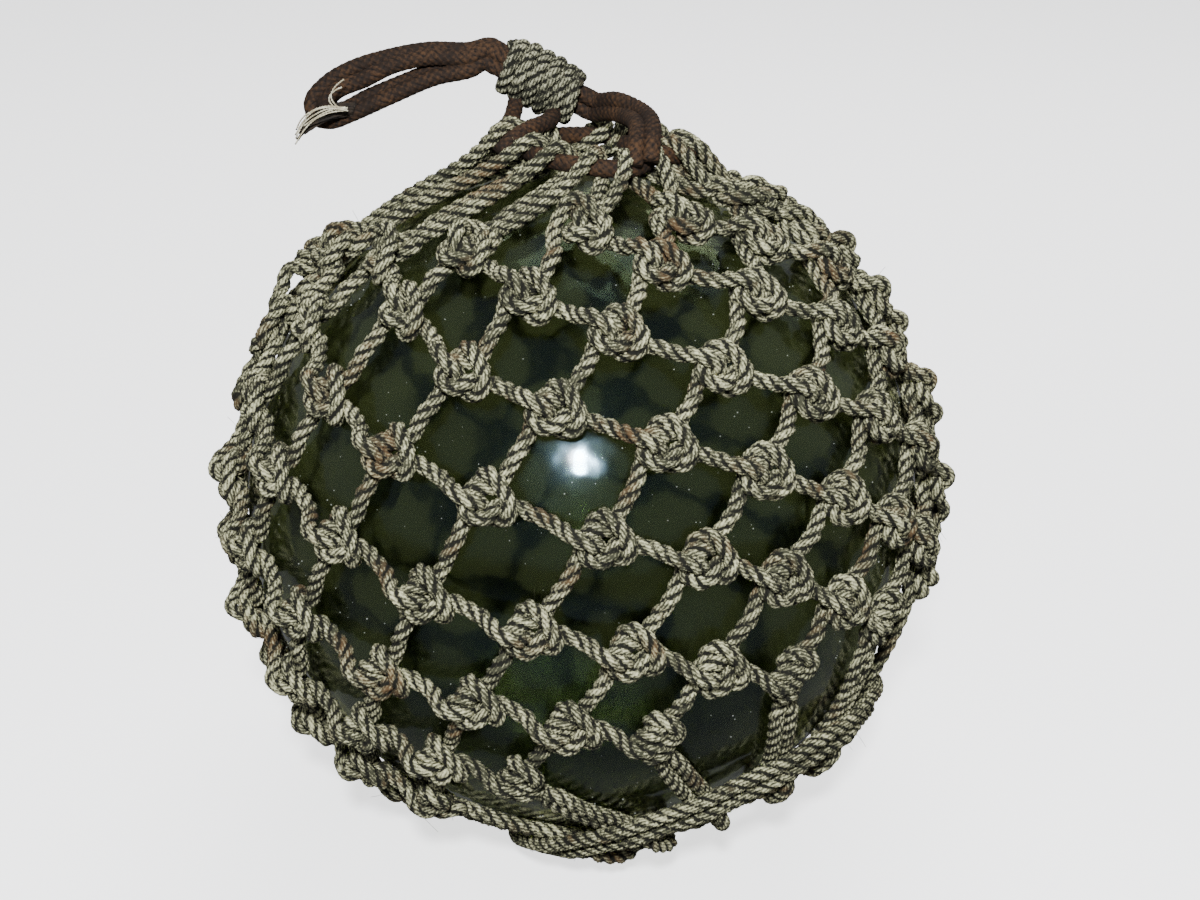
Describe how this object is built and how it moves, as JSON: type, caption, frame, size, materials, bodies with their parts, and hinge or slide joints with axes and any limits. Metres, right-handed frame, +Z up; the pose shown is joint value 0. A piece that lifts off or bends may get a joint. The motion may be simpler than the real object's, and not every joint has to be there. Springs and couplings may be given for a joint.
{
  "type": "glass fishing float",
  "caption": "Round sealed glass net float held in a knotted rope net, with a lashed carrying loop of braided cord on top; sea-worn.",
  "frame": {"origin": "on the ground, under the middle of the net's outline; the float stands on the small flat spot of its rope", "axes": "+Z up; -Y towards the side that shows the mesh best; the carrying loop reaches out over -X"},
  "size_m": [0.3306, 0.3294, 0.3586],
  "materials": {
    "glass": "dark bottle-green blown glass, glossy, with seed bubbles and faint dust",
    "net_rope": "hard-laid three-strand rope, weathered grey-olive with dark grooves and a few rusty tinges",
    "brown_cord": "braided cord, weathered reddish brown",
    "frayed_cord": "frayed cord end with pale yarns"
  },
  "bodies": {
    "root": {"glass_ball": "glass", "net": "net_rope", "lashing": "net_rope", "cord_loop_back": "brown_cord", "cord_loop_front": "brown_cord", "cord_rise_back": "brown_cord", "cord_rise_front": "brown_cord", "cord_under_left": "brown_cord", "cord_under_right": "brown_cord", "frayed_end": "frayed_cord"}
  },
  "joints": []
}
